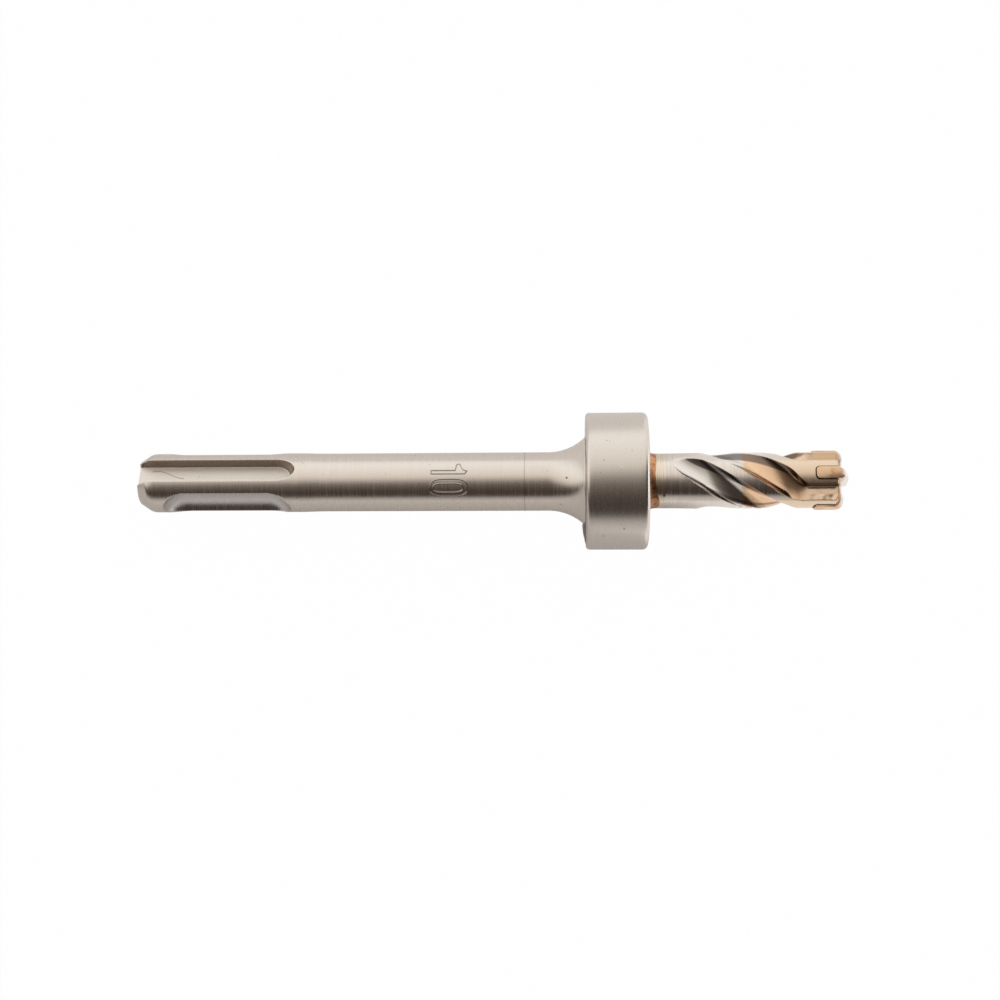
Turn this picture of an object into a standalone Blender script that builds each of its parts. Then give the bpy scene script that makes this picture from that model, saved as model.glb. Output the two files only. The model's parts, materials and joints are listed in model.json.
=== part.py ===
# Depth stop drill bit for hammer drills: a slotted shank, a brazed-on stop collar and a short
# four-flute drill with carbide plates. It lies at rest on a flat surface, on the rim of its
# shank end and the back rim of the collar. World +X runs towards the tip, +Z is up.
# Every station below is counted in millimetres along the bit from the shank end.
import math

import bmesh
import bpy
from mathutils import Matrix, Vector

MM = 0.001

# Driving dimensions, in millimetres
DRILL_DIAMETER = 9.86       # across the carbide edges of a slightly worn 10 mm drill
STOP_DEPTH = 33.0           # from the stop face to the centre point
STOP_STATION = 86.0         # shank end to the stop face
COLLAR_DIAMETER = 22.9
COLLAR_LENGTH = 10.2
SHANK_DIAMETER = 10.0       # slotted part of the shank
NECK_DIAMETER = 9.14
LAND_DIAMETER = 9.26        # over the lands between the flutes
FLUTE_LEAD = 45.2           # one full turn of a flute
FLUTES = 4

# Shank
PLAIN_DIAMETER = 9.82
END_FACE_RADIUS = 3.7
END_FACE_ROUND = 0.1        # the struck face's worn edge, along the bit
END_FACE_WEAR = 0.2         # and across it
END_CHAMFER = 1.75          # chamfer's length along the bit
END_CHAMFER_DEPTH = 0.22    # from its edge to the full shank radius
END_BLEND = 1.15            # length over which that last step fades out
SLOTTED_END = 27.5
PLAIN_START = 32.0

# Open drive slots and closed lock grooves, half a turn apart in pairs
SLOT_ANGLE = 28.0           # degrees from the upward side, towards +Y
SLOT_WIDTH = 3.66
SLOT_FLOOR = 2.38           # floor's distance from the axis
SLOT_FLOOR_END = 25.8
SLOT_RIM_END = 27.4
SLOT_END_ROUND = 2.2        # length of the slot's rounded end
GROOVE_ANGLE = SLOT_ANGLE - 91.5
GROOVE_RADIUS = 4.5         # round trough, seen along the bit
GROOVE_CENTRE = 6.59        # its centre line's distance from the axis
GROOVE_START = 4.2
GROOVE_END = 26.2

# Flare, shoulder and collar
FLARE_START = 69.6
FLARE_ARC = 8.7
FLARE_END = STOP_STATION - COLLAR_LENGTH - 0.1
COLLAR_BACK_ROUND = 0.6
COLLAR_FRONT_ROUND = 0.85
BRAZE_GAP = 0.1             # left for the copper between brazed faces
BORE_GAP = 0.05             # the collar slides over the lands with this much to spare
BORE_CHAMFER = 0.35

# Head
TIP = STOP_STATION + STOP_DEPTH
POINT_STAND = 2.3           # the centre point stands out of the steel by this much
HEAD_END = TIP - POINT_STAND
HEAD_CHAMFER = 0.2
NECK_PAST_STOP = 4.0
LAND_START = STOP_STATION + NECK_PAST_STOP
LAND_BLEND = 4.0
PLATE_THICKNESS = 2.0
PLATE_LENGTH = 5.9
PLATE_BACK = TIP - PLATE_LENGTH
PLATE_BACK_ROUND = 0.62
PLATE_CORNER = 0.85
PLATE_ANGLE = 16.0          # main plate, degrees from the upward side
POINT_SLOPE = 0.20          # fall of the cutting edge per millimetre outwards
RELIEF_SLOPE = 0.46         # fall to both sides of the cutting edge
EDGE_LEAD = 0.11            # the edge leans forward of the plate's middle towards its outer end
SIDE_PLATE_GAP = 0.12       # between a side plate and the main plate
SIDE_PEAK = 3.3             # where a side plate's edge is highest, outwards from the axis
SIDE_DROP = 0.25            # side plates sit this far behind the main one's edge
SIDE_SLOPE = 0.16           # fall of their edge to both sides of that peak

# Flutes
RUNOUT_START = 89.0
RUNOUT_LENGTH = 6.4
LATE_START = 4.2            # every second flute starts this much nearer the tip
HELIX_LENGTH = 25.8         # stop face to where the helix turns into the straight gullet
BEND_STATION = STOP_STATION + HELIX_LENGTH
BEND_LENGTH = 1.6
PHASE_LEAD = 15.15          # a flute faces straight up this far before the bend, so that
FLUTE_PHASE = BEND_STATION - PHASE_LEAD     # its gullet comes to lie between two plates
CHANGE_LEAD = 3.2           # the section starts to change this far before the bend
CHANGE_LENGTH = 3.6
SHAPE_CHANGE = (BEND_STATION - CHANGE_LEAD, BEND_STATION - CHANGE_LEAD + CHANGE_LENGTH)
RUNOUT_LIFT = 2.35          # the flute's floor rises by this much to its start
RUNOUT_LEAN = 0.35          # and more than that on its upper side, per millimetre sideways

# Across a flute, as distance sideways and height above the axis: its lower edge, the lower and
# upper corners of its floor, its upper edge. FLOOR_SAG is the floor's depth below the corners.
HELIX_SECTION = ((-2.33, 3.93), (-1.15, 3.02), (1.42, 3.04), (2.33, 3.93))
HELIX_FLOOR_SAG = 0.30
GULLET_SECTION = ((-1.52, 4.37), (-0.22, 2.88), (0.20, 2.90), (1.47, 4.39))
GULLET_FLOOR_SAG = 0.12
EDGE_OVERRUN = 1.0          # the cutter's walls go on past the edges by this much
MOUTH = (2.6, 7.6)          # its outermost corners, well clear of the lands
CUT_OVERRUN = 1.0           # cutters go past the steel by this much

ROUND_STEPS = 72
COLLAR_STEPS = 96
FLOOR_STEPS = 5
TROUGH_STEPS = 48
QUARTER_STEPS = 12          # in a quarter circle of a trough's end
CORNER_STEPS = 4            # in a quarter circle of a small rounded corner
SLOT_STEPS = 8              # in half of a slot's rounded end
FLARE_STEPS = 8
RUNOUT_STEPS = 12
CHANGE_STEPS = 8
HELIX_STEP = 1.0            # between the flute sections where nothing changes, about
LIFT = 0.0005               # keeps the rounding of 32-bit meshes off the floor plane


def clear_scene():
    for old in list(bpy.data.objects):
        bpy.data.objects.remove(old, do_unlink=True)


def new_collection(name):
    collection = bpy.data.collections.new(name)
    bpy.context.scene.collection.children.link(collection)
    return collection


def metal(name, color, roughness, metallic=1.0):
    material = bpy.data.materials.new(name)
    material.use_nodes = True
    shader = material.node_tree.nodes["Principled BSDF"]
    shader.inputs["Base Color"].default_value = (*color, 1.0)
    shader.inputs["Roughness"].default_value = roughness
    shader.inputs["Metallic"].default_value = metallic
    material.diffuse_color = (*color, 1.0)
    return material


def smoothstep(low, high, value):
    t = min(1.0, max(0.0, (value - low) / (high - low)))
    return t * t * (3.0 - 2.0 * t)


def around(angle, outward, sideways=0.0):
    """Y and Z of a point in the direction of angle, shifted sideways towards larger angles."""
    a = math.radians(angle)
    y = outward * math.sin(a) + sideways * math.cos(a)
    z = outward * math.cos(a) - sideways * math.sin(a)
    return y, z


def add_object(name, mesh, collection, material=None):
    piece = bpy.data.objects.new(name, mesh)
    collection.objects.link(piece)
    if material:
        mesh.materials.append(material)
    return piece


def turned(name, profile, steps, collection, material=None, ring=False, flip=False):
    """Solid of revolution about X from (station, radius) pairs in millimetres. A ring's profile is closed."""
    mesh = bpy.data.meshes.new(name)
    points = [(s * MM, 0.0, r * MM) for s, r in profile]
    edges = [(i, i + 1) for i in range(len(points) - 1)]
    if ring:
        edges.append((len(points) - 1, 0))
    mesh.from_pydata(points, edges, [])
    piece = add_object(name, mesh, collection, material)
    screw = piece.modifiers.new("Turn", "SCREW")
    screw.axis = "X"
    screw.angle = 2.0 * math.pi
    screw.steps = steps
    screw.render_steps = steps
    screw.use_merge_vertices = True
    screw.merge_threshold = 0.000001
    screw.use_smooth_shade = True
    screw.use_normal_flip = flip
    return piece


def lofted(name, sections, collection, material=None):
    """Closed solid through sections of equal point count, with flat ends. Points are in millimetres."""
    build = bmesh.new()
    rings = [[build.verts.new(Vector(p) * MM) for p in section] for section in sections]
    count = len(sections[0])
    for first, second in zip(rings, rings[1:]):
        for i in range(count):
            j = (i + 1) % count
            build.faces.new((first[i], first[j], second[j], second[i]))
    build.faces.new(list(reversed(rings[0])))
    build.faces.new(rings[-1])
    bmesh.ops.recalc_face_normals(build, faces=build.faces[:])
    mesh = bpy.data.meshes.new(name)
    build.to_mesh(mesh)
    build.free()
    return add_object(name, mesh, collection, material)


def as_cutter(piece):
    piece.hide_render = True
    piece.display_type = "WIRE"
    return piece


def cut(piece, cutter):
    boolean = piece.modifiers.new(cutter.name, "BOOLEAN")
    boolean.operation = "DIFFERENCE"
    boolean.solver = "EXACT"
    boolean.object = cutter


def shade_round(piece, angle=30.0):
    """Keeps the modifiers' result as the mesh and shades it smooth but for its true edges."""
    graph = bpy.context.evaluated_depsgraph_get()
    result = bpy.data.meshes.new_from_object(piece.evaluated_get(graph), depsgraph=graph)
    result.name = piece.name
    piece.modifiers.clear()
    piece.data = result
    result.shade_smooth()
    result.set_sharp_from_angle(angle=math.radians(angle))


def flare_radius(station):
    """Concave arc, tangent to the plain shank where it starts."""
    run = station - FLARE_START
    return PLAIN_DIAMETER / 2 + FLARE_ARC - math.sqrt(FLARE_ARC ** 2 - run ** 2)


def shank_contact():
    """Where the shank's end reaches its full radius: the bit lies on this rim."""
    return END_CHAMFER + END_BLEND, SHANK_DIAMETER / 2


def body_profile():
    shank = SHANK_DIAMETER / 2
    plain = PLAIN_DIAMETER / 2
    neck = NECK_DIAMETER / 2
    edge = shank - END_CHAMFER_DEPTH
    profile = [(0.0, 0.0), (0.0, END_FACE_RADIUS - END_FACE_WEAR), (END_FACE_ROUND, END_FACE_RADIUS)]
    profile += [(END_CHAMFER, edge), (END_CHAMFER + END_BLEND / 2, shank - END_CHAMFER_DEPTH / 4)]
    profile += [shank_contact(), (SLOTTED_END, shank)]
    for share in (0.25, 0.5, 0.75):
        station = SLOTTED_END + share * (PLAIN_START - SLOTTED_END)
        profile.append((station, shank + (plain - shank) * smoothstep(0.0, 1.0, share)))
    profile += [(PLAIN_START, plain), (FLARE_START, plain)]
    for step in range(1, FLARE_STEPS + 1):
        station = FLARE_START + (FLARE_END - FLARE_START) * step / FLARE_STEPS
        profile.append((station, flare_radius(station)))
    land = LAND_DIAMETER / 2
    profile += [(FLARE_END, neck), (LAND_START, neck), (LAND_START + LAND_BLEND, land)]
    profile += [(HEAD_END - HEAD_CHAMFER, land), (HEAD_END, land - HEAD_CHAMFER), (HEAD_END, 0.0)]
    return profile


def flute_angle(station, index):
    """Direction of a flute's middle: it winds back with the station, then stays straight in the head."""
    late = station - BEND_STATION
    half = BEND_LENGTH / 2
    if late <= -half:
        travelled = station
    elif late >= half:
        travelled = BEND_STATION
    else:
        travelled = station - (late + half) ** 2 / (2 * BEND_LENGTH)
    return index * 360.0 / FLUTES - (travelled - FLUTE_PHASE) * 360.0 / FLUTE_LEAD


def between(first, second, share):
    return tuple(a + (b - a) * share for a, b in zip(first, second))


def flute_section(station, index):
    """Section of the space cut away by one flute, as points on the plane across the bit."""
    change = smoothstep(*SHAPE_CHANGE, station)
    corners = [between(helix, gullet, change) for helix, gullet in zip(HELIX_SECTION, GULLET_SECTION)]
    low_edge, low, high, high_edge = corners
    sag = HELIX_FLOOR_SAG + (GULLET_FLOOR_SAG - HELIX_FLOOR_SAG) * change
    early = max(0.0, (flute_start(index) + RUNOUT_LENGTH - station) / RUNOUT_LENGTH)
    lift = RUNOUT_LIFT * early ** 2

    outline = [between(low, low_edge, 1.0 + EDGE_OVERRUN), between(low, low_edge, 0.5)]
    for step in range(FLOOR_STEPS + 1):
        share = step / FLOOR_STEPS
        u, h = between(low, high, share)
        outline.append((u, h - 4.0 * sag * share * (1.0 - share)))
    outline += [between(high, high_edge, 0.5), between(high, high_edge, 1.0 + EDGE_OVERRUN)]
    wide, high_up = MOUTH
    outline += [(wide, high_up), (-wide, high_up)]
    angle = flute_angle(station, index)
    return [(station, *around(angle, h + lift * (1.0 + RUNOUT_LEAN * u), u)) for u, h in outline]


def flute_start(index):
    return RUNOUT_START + LATE_START * (index % 2)


def flute_stations(index):
    """Stations with a section: closer together where the flute starts and where its shape changes."""
    start = flute_start(index)
    full = start + RUNOUT_LENGTH
    change, changed = SHAPE_CHANGE
    helix_steps = round((change - full) / HELIX_STEP)
    stations = [start + RUNOUT_LENGTH * i / RUNOUT_STEPS for i in range(RUNOUT_STEPS)]
    stations += [full + (change - full) * i / helix_steps for i in range(helix_steps)]
    stations += [change + (changed - change) * i / CHANGE_STEPS for i in range(CHANGE_STEPS + 1)]
    stations.append(TIP)
    return stations


def slot_cutter(name, angle, collection):
    """Open drive slot: straight walls, a flat floor and a rounded end that leans outwards."""
    half = SLOT_WIDTH / 2

    def outline(height, end):
        points = [(-CUT_OVERRUN, -half)]
        for i in range(-SLOT_STEPS, SLOT_STEPS + 1):
            a = math.pi / 2 * i / SLOT_STEPS
            points.append((end - SLOT_END_ROUND * (1.0 - math.cos(a)), half * math.sin(a)))
        points.append((-CUT_OVERRUN, half))
        return [(s, *around(angle, height, side)) for s, side in points]

    rim = SHANK_DIAMETER / 2
    slope = (SLOT_RIM_END - SLOT_FLOOR_END) / (rim - SLOT_FLOOR)
    top = rim + CUT_OVERRUN
    sections = [outline(SLOT_FLOOR, SLOT_FLOOR_END), outline(top, SLOT_FLOOR_END + slope * (top - SLOT_FLOOR))]
    return as_cutter(lofted(name, sections, collection))


def groove_cutter(name, angle, collection):
    """Closed lock groove: a round trough with ball-shaped ends."""
    reach = math.sqrt(GROOVE_RADIUS ** 2 - (GROOVE_CENTRE - SHANK_DIAMETER / 2) ** 2)
    first = GROOVE_START + reach
    last = GROOVE_END - reach
    profile = []
    for i in range(QUARTER_STEPS + 1):
        a = math.pi / 2 * i / QUARTER_STEPS
        profile.append((first - GROOVE_RADIUS * math.cos(a), GROOVE_RADIUS * math.sin(a)))
    for i in range(QUARTER_STEPS, -1, -1):
        a = math.pi / 2 * i / QUARTER_STEPS
        profile.append((last + GROOVE_RADIUS * math.cos(a), GROOVE_RADIUS * math.sin(a)))
    piece = turned(name, profile, TROUGH_STEPS, collection, flip=True)
    y, z = around(angle, GROOVE_CENTRE)
    piece.location = (0.0, y * MM, z * MM)
    return as_cutter(piece)


def corner_fall(u):
    """How far the rounded outer corner drops the front at u outwards."""
    corner = max(0.0, abs(u) - (DRILL_DIAMETER / 2 - PLATE_CORNER))
    return PLATE_CORNER - math.sqrt(max(0.0, PLATE_CORNER ** 2 - corner ** 2))


def main_front(u, t):
    """Station of the main plate's front at u outwards and t sideways: a roof that falls from the centre point."""
    return TIP - POINT_SLOPE * abs(u) - RELIEF_SLOPE * abs(t + EDGE_LEAD * u) - corner_fall(u)


def plate_section(u, angle, front, back=PLATE_BACK, grow=0.0):
    """Outline of a plate across its width: rounded at the back, shaped by front(u, t) at the front."""
    half = PLATE_THICKNESS / 2 + grow
    r = PLATE_BACK_ROUND
    back -= grow
    points = []
    for i in range(CORNER_STEPS + 1):
        a = math.pi / 2 * i / CORNER_STEPS
        points.append((back + r * (1 - math.sin(a)), -half + r * (1 - math.cos(a))))
    for i in range(CORNER_STEPS + 1):
        a = math.pi / 2 * i / CORNER_STEPS
        points.append((back + r * (1 - math.cos(a)), half - r + r * math.sin(a)))
    edge = -EDGE_LEAD * u
    for i in range(4):
        t = half + (edge - half) * i / 3
        points.append((front(u, t), t))
    for i in range(1, 4):
        t = edge + (-half - edge) * i / 3
        points.append((front(u, t), t))
    # The outer face is ground to the drill's own circle.
    outer = DRILL_DIAMETER / 2
    return [(s, *around(angle, u * math.sqrt(1.0 - (t / outer) ** 2), t)) for s, t in points]


def outward_steps(low, high):
    """Distances from the axis at which a plate has a section, closer together over its rounded corner."""
    straight = high - PLATE_CORNER
    steps = [low + (straight - low) * i / 6 for i in range(7)]
    steps += [straight + PLATE_CORNER * math.sin(math.radians(angle)) for angle in (20, 40, 58, 75)]
    return steps


def main_plate(name, collection, material):
    outer = outward_steps(0.0, DRILL_DIAMETER / 2)
    steps = [-u for u in reversed(outer[1:])] + outer
    sections = [plate_section(u, PLATE_ANGLE, main_front) for u in steps]
    return lofted(name, sections, collection, material)


def side_front(u, t):
    """A side plate's edge peaks well out and falls away to the centre and to its outer corner."""
    peak = TIP - POINT_SLOPE * SIDE_PEAK - SIDE_DROP
    return peak - SIDE_SLOPE * abs(u - SIDE_PEAK) - RELIEF_SLOPE * abs(t + EDGE_LEAD * u) - corner_fall(u)


def side_plate(name, angle, collection, material):
    steps = outward_steps(PLATE_THICKNESS / 2 + SIDE_PLATE_GAP, DRILL_DIAMETER / 2)
    sections = [plate_section(u, angle, side_front) for u in steps]
    return lofted(name, sections, collection, material)


def plate_slot(name, angle, low, high, collection):
    """Space for a plate: its own outline with the braze gap, open at the front."""
    def open_front(u, t):
        return TIP + CUT_OVERRUN
    sections = [plate_section(u, angle, open_front, grow=BRAZE_GAP) for u in (low, high)]
    return as_cutter(lofted(name, sections, collection))


def collar_profile():
    back = STOP_STATION - COLLAR_LENGTH
    front = STOP_STATION
    outer = COLLAR_DIAMETER / 2
    bore = LAND_DIAMETER / 2 + BORE_GAP
    turns = [math.pi / 2 * i / CORNER_STEPS for i in range(CORNER_STEPS + 1)]
    r = COLLAR_BACK_ROUND
    back_round = [(back + r - r * math.cos(a), outer - r + r * math.sin(a)) for a in turns]
    r = COLLAR_FRONT_ROUND
    front_round = [(front - r + r * math.sin(a), outer - r + r * math.cos(a)) for a in turns]
    bore_back = [(back + BORE_CHAMFER, bore), (back, bore + BORE_CHAMFER)]
    bore_front = [(front, bore + BORE_CHAMFER), (front - BORE_CHAMFER, bore)]
    return bore_back + back_round + front_round + bore_front


def resting_frame():
    """Tilt of the axis and its height at the shank end, with the bit down on two rims."""
    station, radius = shank_contact()
    tilt = max(math.atan2(r - radius, s - station) for s, r in collar_profile())
    height = radius * math.cos(tilt) - station * math.sin(tilt) + LIFT
    return tilt, height


def main():
    clear_scene()
    parts = new_collection("depth_stop_drill_bit")
    cutters = new_collection("cutters")
    steel = metal("steel", (0.66, 0.60, 0.55), 0.34)
    collar_steel = metal("collar_steel", (0.66, 0.61, 0.57), 0.38)
    carbide = metal("carbide", (0.62, 0.48, 0.37), 0.42)

    body = turned("drill_body", body_profile(), ROUND_STEPS, parts, steel)
    tools = []
    for i in range(2):
        tools.append(slot_cutter(f"drive_slot_{i + 1}", SLOT_ANGLE + 180.0 * i, cutters))
        tools.append(groove_cutter(f"lock_groove_{i + 1}", GROOVE_ANGLE + 180.0 * i, cutters))
    for i in range(FLUTES):
        sections = [flute_section(s, i) for s in flute_stations(i)]
        tools.append(as_cutter(lofted(f"flute_{i + 1}", sections, cutters)))
    reach = DRILL_DIAMETER / 2 + CUT_OVERRUN
    tools.append(plate_slot("main_plate_slot", PLATE_ANGLE, -reach, reach, cutters))
    tools.append(plate_slot("side_plate_slot", PLATE_ANGLE + 90.0, -reach, reach, cutters))
    for tool in tools:
        cut(body, tool)

    collar = turned("stop_collar", collar_profile(), COLLAR_STEPS, parts, collar_steel, ring=True, flip=True)
    pieces = [body, collar, main_plate("main_cutter_plate", parts, carbide)]
    for i in range(2):
        angle = PLATE_ANGLE + 90.0 + 180.0 * i
        pieces.append(side_plate(f"side_cutter_plate_{i + 1}", angle, parts, carbide))

    bpy.context.view_layer.update()
    for piece in (body, collar):
        shade_round(piece)
    for piece in pieces[2:]:
        piece.data.set_sharp_from_angle(angle=math.radians(25.0))

    tilt, height = resting_frame()
    axis = bpy.data.objects.new("bit_axis", None)
    axis.empty_display_size = 0.01
    parts.objects.link(axis)
    lying = Matrix.Translation((0.0, 0.0, height * MM)) @ Matrix.Rotation(-tilt, 4, "Y")
    # The world origin is under the middle of the bit's length.
    ends = [(lying @ vertex.co).x for piece in pieces for vertex in piece.data.vertices]
    axis.matrix_world = Matrix.Translation((-(min(ends) + max(ends)) / 2, 0.0, 0.0)) @ lying
    for piece in pieces + tools:
        piece.parent = axis


main()
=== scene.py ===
import json
import math

import bmesh
import bpy
from mathutils import Matrix, Vector, noise


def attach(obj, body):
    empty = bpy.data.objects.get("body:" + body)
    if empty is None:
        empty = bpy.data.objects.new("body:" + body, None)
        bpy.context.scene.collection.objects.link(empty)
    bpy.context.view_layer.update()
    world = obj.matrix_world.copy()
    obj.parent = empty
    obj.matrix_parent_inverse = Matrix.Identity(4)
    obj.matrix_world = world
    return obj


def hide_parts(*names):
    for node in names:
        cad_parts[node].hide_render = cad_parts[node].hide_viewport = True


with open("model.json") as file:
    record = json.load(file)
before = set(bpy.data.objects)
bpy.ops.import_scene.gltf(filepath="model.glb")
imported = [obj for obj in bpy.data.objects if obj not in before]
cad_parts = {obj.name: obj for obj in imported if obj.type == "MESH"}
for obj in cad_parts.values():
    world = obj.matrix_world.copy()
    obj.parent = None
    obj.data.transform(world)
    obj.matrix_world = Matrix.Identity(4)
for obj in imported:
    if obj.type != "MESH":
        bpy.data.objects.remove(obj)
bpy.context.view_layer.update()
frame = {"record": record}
scene = bpy.context.scene
mm = 0.001

# The bit lies tilted on the rim of its shank end and on the collar. Every piece is made level along local +X,
# with its stations counted from the shank end in millimetres, and is then laid down with this matrix.
mounts = {m["name"]: m for m in frame["record"]["mounts"]}
shankEnd = Vector(mounts["shank_end"]["pos_m"])
along = -Vector(mounts["shank_end"]["axis"])
tilt = math.atan2(along.z, along.x)
lying = Matrix.Translation(shankEnd) @ Matrix.Rotation(-tilt, 4, "Y")
print("frame loaded, tilt", round(math.degrees(tilt), 3))


# Shared measures, in millimetres
bit = {
    "shankRadius": 5.0, "plainRadius": 4.91, "neckRadius": 4.57, "landRadius": 4.63, "drillRadius": 4.93,
    "collarBack": 75.8, "stopFace": 86.0, "collarRadius": 11.45, "tip": 119.0, "seam": 80.5,
}


def smooth(low, high, value):
    # 0 below low, 1 above high, and a soft rise between
    t = min(1.0, max(0.0, (value - low) / (high - low)))
    return t * t * (3.0 - 2.0 * t)


def softMin(a, b, reach):
    # the smaller value, rounded where the two come within reach of each other
    return min(a, b) - max(reach - abs(a - b), 0.0) ** 2 / (4.0 * reach)


def around(angle, outward, sideways=0.0):
    # y and z of a point in the direction of angle, 0 up and 90 towards +Y
    a = math.radians(angle)
    return outward * math.sin(a) + sideways * math.cos(a), outward * math.cos(a) - sideways * math.sin(a)


def steps(low, high, count):
    return [low + (high - low) * i / count for i in range(count)]


def ripple(x, y, z, seed=0.0):
    return noise.noise(Vector((x + seed, y - seed * 0.7, z + seed * 1.3)))


def makePiece(name, points, faces, material, sharp=35.0):
    mesh = bpy.data.meshes.new(name)
    mesh.from_pydata([tuple(v * mm for v in p) for p in points], [], faces)
    mesh.shade_smooth()
    mesh.set_sharp_from_angle(angle=math.radians(sharp))
    mesh.materials.append(material)
    piece = bpy.data.objects.new(name, mesh)
    scene.collection.objects.link(piece)
    piece.matrix_world = lying
    return piece


def loftPiece(name, rings, material, sharp=35.0):
    # quads between rings of points that run with the angle, with stations rising, and a face on each end
    count = len(rings[0])
    end = (len(rings) - 1) * count
    faces = []
    for a in range(0, end, count):
        b = a + count
        for i in range(count):
            j = (i + 1) % count
            faces.append((a + i, b + i, b + j, a + j))
    faces.append(tuple(range(count)))
    faces.append(tuple(reversed(range(end, end + count))))
    return makePiece(name, [p for ring in rings for p in ring], faces, material, sharp)


def turnedPiece(name, profileAt, count, material, sharp=35.0):
    # closed ring: profileAt(angle) gives the same number of (station, radius) pairs at every angle
    columns = [profileAt(360.0 * i / count) for i in range(count)]
    rows = len(columns[0])
    points = []
    for i, column in enumerate(columns):
        for s, r in column:
            y, z = around(360.0 * i / count, r)
            points.append((s, y, z))
    faces = []
    for i in range(count):
        j = (i + 1) % count
        for k in range(rows):
            m = (k + 1) % rows
            faces.append((i * rows + k, i * rows + m, j * rows + m, j * rows + k))
    return makePiece(name, points, faces, material, sharp)


def beadPiece(name, loops, radius, material, sides=8):
    # thin round beads along closed lines of (station, y, z), in one object
    points, faces = [], []
    for path in loops:
        start = len(points)
        count = len(path)
        for i, p in enumerate(path):
            run = (Vector(path[(i + 1) % count]) - Vector(path[i - 1])).normalized()
            out = Vector((0.0, p[1], p[2])).normalized()
            side = run.cross(out).normalized()
            out = side.cross(run)
            for k in range(sides):
                a = 2.0 * math.pi * k / sides
                points.append(tuple(Vector(p) + (side * math.cos(a) + out * math.sin(a)) * radius))
        for i in range(count):
            a = start + i * sides
            b = start + (i + 1) % count * sides
            for k in range(sides):
                m = (k + 1) % sides
                faces.append((a + k, a + m, b + m, b + k))
    return makePiece(name, points, faces, material)


# Shader recipes

class Wire:
    # one socket of a node: arithmetic on it adds Math nodes
    def __init__(self, recipe, socket):
        self.recipe = recipe
        self.socket = socket

    def maths(self, operation, *others):
        values = dict(enumerate((self,) + others))
        return self.recipe.add("Math", {"operation": operation}, values)

    def __add__(self, other):
        return self.maths("ADD", other)

    def __mul__(self, other):
        return self.maths("MULTIPLY", other)

    def __sub__(self, other):
        return self.maths("SUBTRACT", other)

    def __rsub__(self, other):
        return self.recipe.add("Math", {"operation": "SUBTRACT"}, {0: other, 1: self})

    def __truediv__(self, other):
        return self.maths("DIVIDE", other)

    def __abs__(self):
        return self.maths("ABSOLUTE")

    __radd__ = __add__


class Recipe:
    def __init__(self, tree):
        self.tree = tree
        tree.nodes.clear()

    def add(self, kind, settings=None, sockets=None, out=0):
        node = self.tree.nodes.new("ShaderNode" + kind)
        for name, value in (settings or {}).items():
            if name == "stops":
                band = node.color_ramp
                while len(band.elements) > 1:
                    band.elements.remove(band.elements[-1])
                for i, (position, color) in enumerate(value):
                    stop = band.elements[0] if i == 0 else band.elements.new(position)
                    stop.position = position
                    stop.color = (*color, 1.0)
            else:
                setattr(node, name, value)
        for name, value in (sockets or {}).items():
            if isinstance(value, Wire):
                self.tree.links.new(value.socket, node.inputs[name])
            else:
                node.inputs[name].default_value = value
        if isinstance(out, tuple):
            return [Wire(self, node.outputs[o]) for o in out]
        return Wire(self, node.outputs[out]) if len(node.outputs) else node

    def ramp(self, value, low, high, first=0.0, last=1.0):
        settings = {"interpolation_type": "SMOOTHSTEP"}
        sockets = {"Value": value, "From Min": low, "From Max": high, "To Min": first, "To Max": last}
        return self.add("MapRange", settings, sockets)

    def fall(self, value, low, high):
        return self.ramp(value, low, high, 1.0, 0.0)

    def blend(self, share, first, second):
        first, second = [c if isinstance(c, Wire) else (*c, 1.0) for c in (first, second)]
        return self.add("Mix", {"data_type": "RGBA"}, {0: share, 6: first, 7: second}, out=2)

    def shade(self, color, factor):
        # colour times a value, kept as a colour
        grey = self.add("CombineXYZ", None, {0: factor, 1: factor, 2: factor})
        return self.add("VectorMath", {"operation": "MULTIPLY"}, {0: color, 1: grey})

    def stretch(self, vector, scale):
        return self.add("VectorMath", {"operation": "MULTIPLY"}, {0: vector, 1: scale})

    def cloud(self, vector, scale=1.0, detail=2.0, roughness=0.5):
        sockets = {"Vector": vector, "Scale": scale, "Detail": detail, "Roughness": roughness}
        return self.add("TexNoise", {"noise_dimensions": "3D"}, sockets)

    def speckle(self, vector, scale=1.0, detail=2.0, roughness=0.5):
        # a cloud centred on nought
        return self.cloud(vector, scale, detail, roughness) - 0.5


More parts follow.
